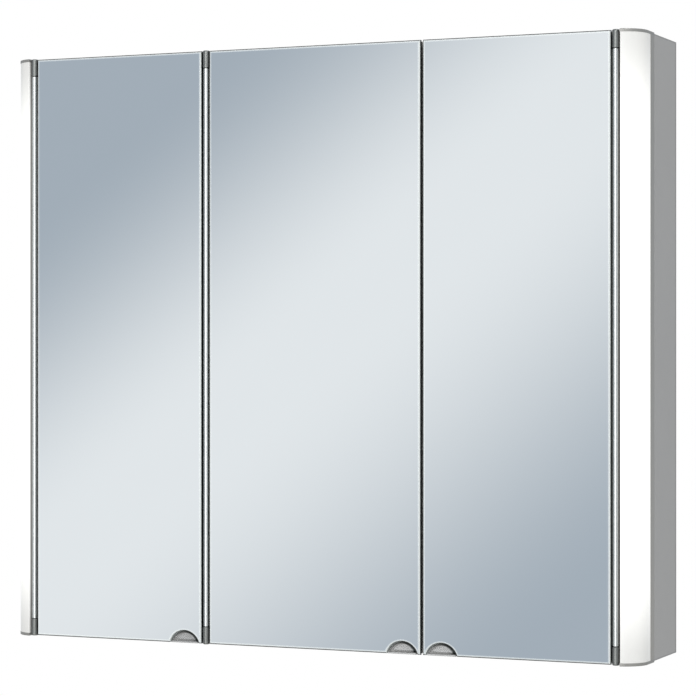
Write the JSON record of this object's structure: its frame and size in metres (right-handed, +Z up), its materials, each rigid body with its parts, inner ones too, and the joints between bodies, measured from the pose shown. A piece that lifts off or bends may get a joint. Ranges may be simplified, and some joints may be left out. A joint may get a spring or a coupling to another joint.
{
  "type": "medicine cabinet with mirror",
  "caption": "Wall-hung bathroom cabinet with hinged double-sided mirror doors between two upright light columns, glass shelves and a switched socket inside.",
  "frame": {"origin": "centre of the back face, on the wall", "axes": "+X to the right as seen from the front, +Y into the wall, +Z up; the mirrors face -Y"},
  "size_m": [0.682, 0.118, 0.6],
  "materials": {
    "board": "matt aluminium-grey laminate on board",
    "back_board": "light grey foil on hardboard",
    "dowel_wood": "bare beech",
    "opal": "lit opal acrylic, satin",
    "profile_aluminium": "satin anodised",
    "cap_silver": "silver lacquer on plastic",
    "lamp_glass": "white fluorescent tube glass",
    "lamp_metal": "plain",
    "white_plastic": "moulded, fine texture",
    "light_plastic": "moulded, fine texture",
    "grey_plastic": "moulded, fine texture",
    "rocker_plastic": "moulded, polished",
    "mirror": "polished, ground edge",
    "rod_aluminium": "bright anodised, drawn",
    "grip_metal": "brushed across",
    "knuckle_metal": "satin nickel on zinc casting",
    "steel": "zinc plated",
    "nickel": "nickel plated",
    "magnet": "dark ferrite",
    "clear_rubber": "clear silicone",
    "black_rubber": "matt",
    "shelf_glass": "clear float glass, ground edge",
    "ballast_case": "plain sheet",
    "lead_sheath": "white sheath"
  },
  "bodies": {
    "cabinet": {"back_panel": "back_board", "ballast": "ballast_case", "bottom_panel": "board", "cable_grommet": "black_rubber", "catch_housings": "grey_plastic", "catch_magnets": "magnet", "column_caps_left": "cap_silver", "column_caps_right": "cap_silver", "column_profile_left": "profile_aluminium", "column_profile_right": "profile_aluminium", "control_fascia": "light_plastic", "control_housing": "grey_plastic", "diffuser_left": "opal", "diffuser_right": "opal", "door_bumpers": "clear_rubber", "fascia_screws": "steel", "hinge_brackets_left": "knuckle_metal", "hinge_brackets_middle": "knuckle_metal", "hinge_brackets_right": "knuckle_metal", "hinge_screws": "steel", "lamp_base_caps": "lamp_metal", "lamp_holders": "white_plastic", "lamp_leads": "lead_sheath", "lamp_tube_left": "lamp_glass", "lamp_tube_right": "lamp_glass", "lead_clips": "white_plastic", "panel_dowels": "dowel_wood", "partition_left": "board", "partition_right": "board", "pivot_pins": "steel", "shelf_pins": "nickel", "shelves_left": "shelf_glass", "shelves_middle": "shelf_glass", "shelves_right": "shelf_glass", "side_panel_left": "board", "side_panel_right": "board", "socket_earth_clips": "nickel", "socket_insert": "white_plastic", "switch_body": "white_plastic", "terminal_block": "white_plastic", "top_panel": "board", "wall_plates": "steel"},
    "door_left": {"mirror_front_left": "mirror", "mirror_rear_left": "mirror", "hinge_profile_left": "rod_aluminium", "grip_left": "grip_metal", "strike_plate_left": "steel"},
    "door_middle": {"mirror_front_middle": "mirror", "mirror_rear_middle": "mirror", "hinge_profile_middle": "rod_aluminium", "grip_middle": "grip_metal", "strike_plate_middle": "steel"},
    "door_right": {"mirror_front_right": "mirror", "mirror_rear_right": "mirror", "hinge_profile_right": "rod_aluminium", "grip_right": "grip_metal", "strike_plate_right": "steel"},
    "rocker": {"rocker_key": "rocker_plastic"}
  },
  "joints": [
    {"name": "door_left_hinge", "type": "hinge", "parent": "cabinet", "child": "door_left", "pos_m": [-0.3155, -0.1143, 0], "axis": [0, 0, -1], "range_deg": [0, 105]},
    {"name": "door_middle_hinge", "type": "hinge", "parent": "cabinet", "child": "door_middle", "pos_m": [-0.1159, -0.1143, 0], "axis": [0, 0, -1], "range_deg": [0, 105]},
    {"name": "door_right_hinge", "type": "hinge", "parent": "cabinet", "child": "door_right", "pos_m": [0.3155, -0.1143, 0], "axis": [0, 0, 1], "range_deg": [0, 105]},
    {"name": "rocker_tilt", "type": "hinge", "parent": "cabinet", "child": "rocker", "pos_m": [0.262, -0.0672, -0.2475], "axis": [1, 0, 0], "range_deg": [0, 16]}
  ]
}
